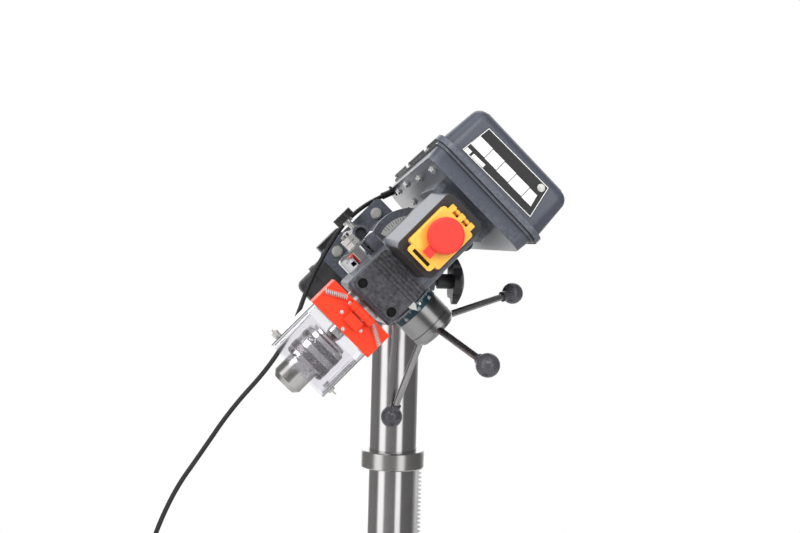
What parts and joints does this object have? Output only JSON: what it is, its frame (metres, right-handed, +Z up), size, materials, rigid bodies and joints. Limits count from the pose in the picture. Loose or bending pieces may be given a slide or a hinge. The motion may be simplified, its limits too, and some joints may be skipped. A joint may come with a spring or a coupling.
{
  "type": "tilting-head column drill press",
  "caption": "Floor-standing column drill press with a tilting belt-driven head, chuck guard and swinging table.",
  "frame": {"origin": "on the floor, at the middle of the four foot holes in the base", "axes": "+Z up, +X to the operator's right, +Y from the operator towards the column"},
  "size_m": [0.565, 0.5994, 1.5759],
  "materials": {
    "paint": "gloss",
    "cover_paint": "satin",
    "plate_black": "satin",
    "iron": "machined",
    "steel": "ground",
    "zinc": "plated",
    "dark_steel": "blackened",
    "chrome": "polished",
    "aluminium": "cast",
    "scale_plate": "satin",
    "ring_blue": "satin",
    "black_plastic": "satin",
    "white_plastic": "gloss",
    "yellow_plastic": "gloss",
    "red_plastic": "gloss",
    "green_plastic": "gloss",
    "guard_red": "gloss",
    "clear": "clear",
    "rubber": "matte"
  },
  "bodies": {
    "frame": {"base": "paint", "column_flange": "paint", "flange_bolts": "zinc", "column": "steel", "rack_collar": "steel"},
    "rack": {"rack": "steel"},
    "table_arm": {"table_bracket": "paint"},
    "table": {"table": "iron"},
    "table_crank": {"table_crank": "dark_steel"},
    "table_lock": {"table_lock": "dark_steel"},
    "carrier": {"carrier": "paint", "angle_scale": "scale_plate", "cord": "rubber", "cord_coil": "rubber", "plug": "rubber"},
    "star_knob": {"star_knob": "black_plastic"},
    "head": {"head_casting": "paint", "front_cover": "cover_paint", "depth_pointer": "white_plastic", "switch_box": "paint", "switch_plate": "plate_black", "panel_screws": "zinc", "switch_body": "yellow_plastic", "spring_cup": "chrome", "tray": "paint", "belt": "rubber", "cable_gland": "black_plastic", "cord_top": "rubber"},
    "lid": {"lid": "paint"},
    "motor_slide": {"motor_plate": "paint", "slide_bars": "steel", "motor_bolts": "zinc", "motor_body": "paint", "fan_cover": "black_plastic"},
    "motor_rotor": {"motor_pulley": "aluminium"},
    "pulley": {"spindle_pulley": "aluminium"},
    "tension_knob": {"tension_knob": "black_plastic"},
    "quill": {"quill": "steel", "guard_clamp": "guard_red"},
    "feed": {"feed_shaft": "steel", "feed_hub": "steel", "depth_ring": "ring_blue", "feed_handles": "chrome", "handle_balls": "black_plastic", "jam_nuts": "zinc"},
    "spindle": {"spindle": "steel", "chuck_body": "steel"},
    "chuck_sleeve": {"chuck_sleeve": "chrome"},
    "jaw_1": {"chuck_jaw_1": "steel"},
    "jaw_2": {"chuck_jaw_2": "steel"},
    "jaw_3": {"chuck_jaw_3": "steel"},
    "guard": {"guard_frame": "guard_red", "guard_shield": "clear", "wing_nuts": "zinc", "guard_springs": "zinc"},
    "guard_slider": {"guard_slider": "clear"},
    "switch_flap": {"switch_flap": "yellow_plastic"},
    "stop_paddle": {"stop_paddle": "red_plastic"},
    "stop_button": {"stop_button": "red_plastic"},
    "start_button": {"start_button": "green_plastic"}
  },
  "joints": [
    {"name": "table_swing", "type": "hinge", "parent": "frame", "child": "rack", "pos_m": [0, 0.126, 0.5], "axis": [0, 0, 1], "range_deg": [-90, 90]},
    {"name": "table_height", "type": "slide", "parent": "rack", "child": "table_arm", "axis": [0, 0, 1], "range_m": [-0.45, 0.15]},
    {"name": "table_tilt", "type": "hinge", "parent": "table_arm", "child": "table", "pos_m": [0, -0.05, 0.76], "axis": [0, 1, 0], "range_deg": [-45, 45]},
    {"name": "crank_turn", "type": "hinge", "parent": "table_arm", "child": "table_crank", "pos_m": [0.09, 0.151, 0.76], "axis": [1, 0, 0], "range_deg": [-12862, 4291]},
    {"name": "table_lock_turn", "type": "hinge", "parent": "table_arm", "child": "table_lock", "pos_m": [-0.06, 0.126, 0.76], "axis": [1, 0, 0], "range_deg": [-35, 35]},
    {"name": "head_swivel", "type": "hinge", "parent": "frame", "child": "carrier", "pos_m": [0, 0.126, 1.3], "axis": [0, 0, 1], "range_deg": [-45, 45]},
    {"name": "star_knob_turn", "type": "hinge", "parent": "carrier", "child": "star_knob", "pos_m": [0.08, 0.126, 1.354], "axis": [1, 0, 0], "range_deg": [-20, 340]},
    {"name": "head_tilt", "type": "hinge", "parent": "carrier", "child": "head", "pos_m": [0, 0, 1.4], "axis": [0, 1, 0], "range_deg": [-44, 1]},
    {"name": "lid_open", "type": "hinge", "parent": "head", "child": "lid", "pos_m": [0.00919, 0.01, 1.53153], "axis": [-0.0235, -0.9995, 0.0227], "range_deg": [0, 100]},
    {"name": "belt_tension", "type": "slide", "parent": "head", "child": "motor_slide", "axis": [0, 1, 0], "range_m": [-0.006, 0]},
    {"name": "motor_turn", "type": "hinge", "parent": "motor_slide", "child": "motor_rotor", "pos_m": [0, 0.271, 1.4], "axis": [0.6947, 0, 0.7193], "continuous": true},
    {"name": "pulley_turn", "type": "hinge", "parent": "head", "child": "pulley", "pos_m": [0, -0.09, 1.4], "axis": [0.6947, 0, 0.7193], "continuous": true},
    {"name": "tension_lock_turn", "type": "hinge", "parent": "head", "child": "tension_knob", "pos_m": [-0.09334, 0.002, 1.4401], "axis": [0.7193, 0, -0.6947], "range_deg": [-20, 340]},
    {"name": "quill_feed", "type": "slide", "parent": "head", "child": "quill", "axis": [-0.6947, 0, -0.7193], "range_m": [0, 0.08]},
    {"name": "feed_turn", "type": "hinge", "parent": "head", "child": "feed", "pos_m": [-0.04029, -0.054, 1.35828], "axis": [0.7193, 0, -0.6947], "range_deg": [0, 382], "stiffness_Nm_per_rad": 0.06, "springref_deg": -572.96},
    {"name": "spindle_turn", "type": "hinge", "parent": "quill", "child": "spindle", "pos_m": [-0.06947, -0.09, 1.32807], "axis": [0.6947, 0, 0.7193], "continuous": true},
    {"name": "chuck_turn", "type": "hinge", "parent": "spindle", "child": "chuck_sleeve", "pos_m": [-0.13198, -0.09, 1.26333], "axis": [0.6947, 0, 0.7193], "range_deg": [0, 1440]},
    {"name": "jaw_1_slide", "type": "slide", "parent": "spindle", "child": "jaw_1", "axis": [0.8247, 0.121, 0.5524], "range_m": [0, 0.02]},
    {"name": "jaw_2_slide", "type": "slide", "parent": "spindle", "child": "jaw_2", "axis": [0.5233, 0.121, 0.8435], "range_m": [0, 0.02]},
    {"name": "jaw_3_slide", "type": "slide", "parent": "spindle", "child": "jaw_3", "axis": [0.674, -0.2419, 0.698], "range_m": [0, 0.02]},
    {"name": "guard_flip", "type": "hinge", "parent": "quill", "child": "guard", "pos_m": [-0.08266, -0.16, 1.3144], "axis": [-0.7193, 0, 0.6947], "range_deg": [0, 90]},
    {"name": "guard_length", "type": "slide", "parent": "guard", "child": "guard_slider", "axis": [-0.6947, 0, -0.7193], "range_m": [0, 0.04]},
    {"name": "flap_open", "type": "hinge", "parent": "head", "child": "switch_flap", "pos_m": [0.02624, -0.2409, 1.43653], "axis": [-0.7193, 0, 0.6947], "range_deg": [0, 100]},
    {"name": "paddle_push", "type": "slide", "parent": "switch_flap", "child": "stop_paddle", "axis": [0, 1, 0], "range_m": [0, 0.003], "stiffness_N_per_m": 400},
    {"name": "stop_push", "type": "slide", "parent": "head", "child": "stop_button", "axis": [0, 1, 0], "range_m": [0, 0.003]},
    {"name": "start_push", "type": "slide", "parent": "head", "child": "start_button", "axis": [0, 1, 0], "range_m": [0, 0.003], "stiffness_N_per_m": 400}
  ],
  "couplings": [
    {"joint": "crank_turn", "follows": "table_height", "rad_per_m": 498.67},
    {"joint": "feed_turn", "follows": "quill_feed", "rad_per_m": 83.333},
    {"joint": "pulley_turn", "follows": "motor_turn", "ratio": 1},
    {"joint": "spindle_turn", "follows": "motor_turn", "ratio": 1},
    {"joint": "stop_push", "follows": "paddle_push", "ratio": 1},
    {"joint": "jaw_1_slide", "follows": "chuck_turn", "m_per_rad": 0.00079577},
    {"joint": "jaw_2_slide", "follows": "chuck_turn", "m_per_rad": 0.00079577},
    {"joint": "jaw_3_slide", "follows": "chuck_turn", "m_per_rad": 0.00079577}
  ]
}
